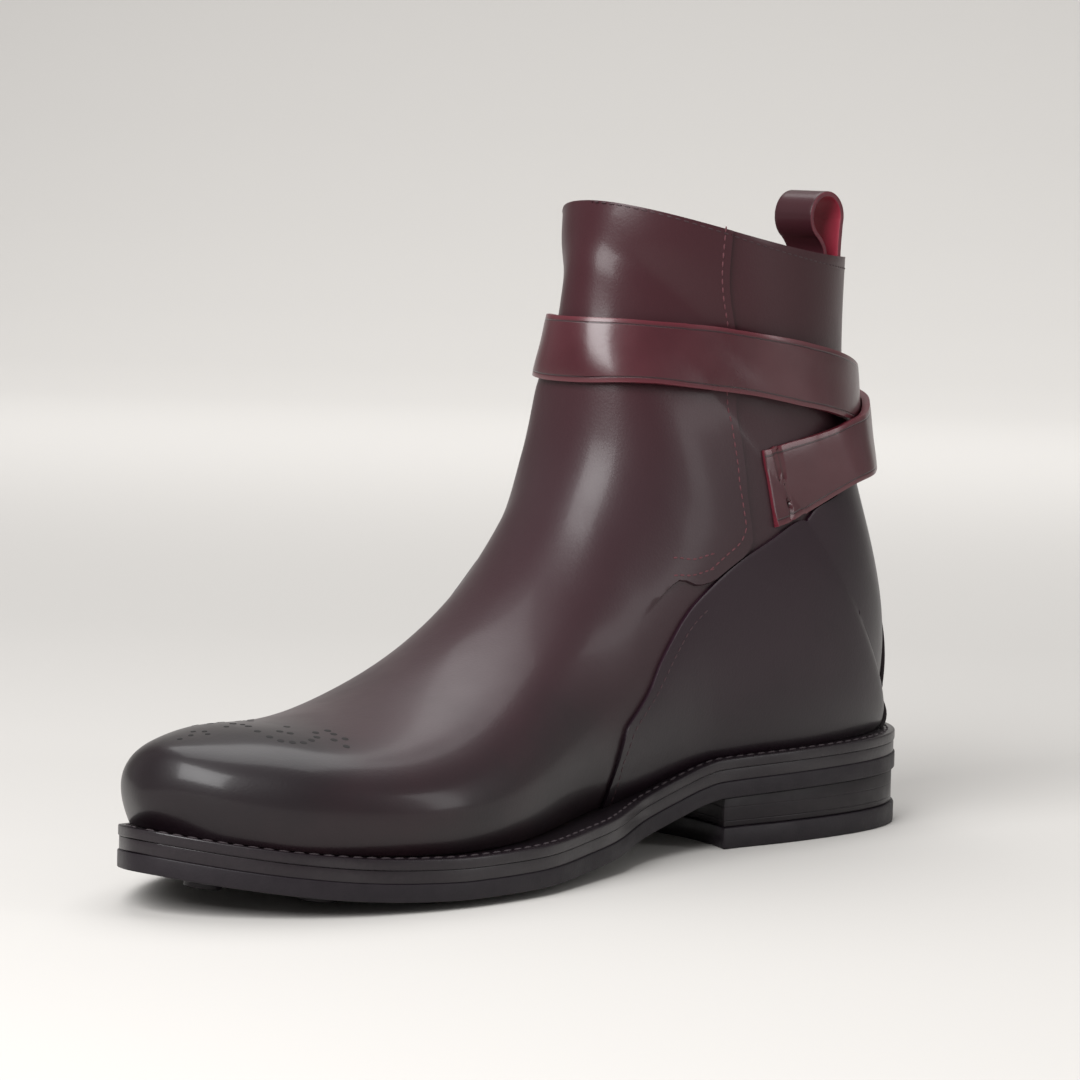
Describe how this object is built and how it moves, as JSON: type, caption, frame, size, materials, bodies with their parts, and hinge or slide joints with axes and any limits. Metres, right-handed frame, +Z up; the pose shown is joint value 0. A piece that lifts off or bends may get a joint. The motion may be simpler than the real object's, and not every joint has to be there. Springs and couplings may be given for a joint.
{
  "type": "jodhpur boot",
  "caption": "Right ankle boot with a plain round toe, a wrapped front piece, two crossing straps, a frame buckle, a pull loop and a studded sole.",
  "frame": {"origin": "middle of the boot's outline seen from above, on the ground it stands on", "axes": "+X from heel to toe, +Y to the big-toe side, +Z up"},
  "size_m": [0.305, 0.106, 0.197],
  "materials": {
    "rubber": "satin",
    "sole_edge": "waxed",
    "lining": "plain",
    "calf": "burnished",
    "calf_dark": "burnished",
    "calf_strap": "polished",
    "brass": "polished"
  },
  "bodies": {
    "root": {"outsole": "rubber", "midsole": "sole_edge", "welt": "sole_edge", "heel_block": "sole_edge", "heel_top_piece": "rubber", "heel_plate": "rubber", "insole": "lining", "upper": "calf", "quarters": "calf_dark", "backstay": "calf", "long_strap": "calf_strap", "buckle_strap": "calf_strap", "buckle_frame": "brass", "buckle_prong": "brass"}
  },
  "joints": []
}
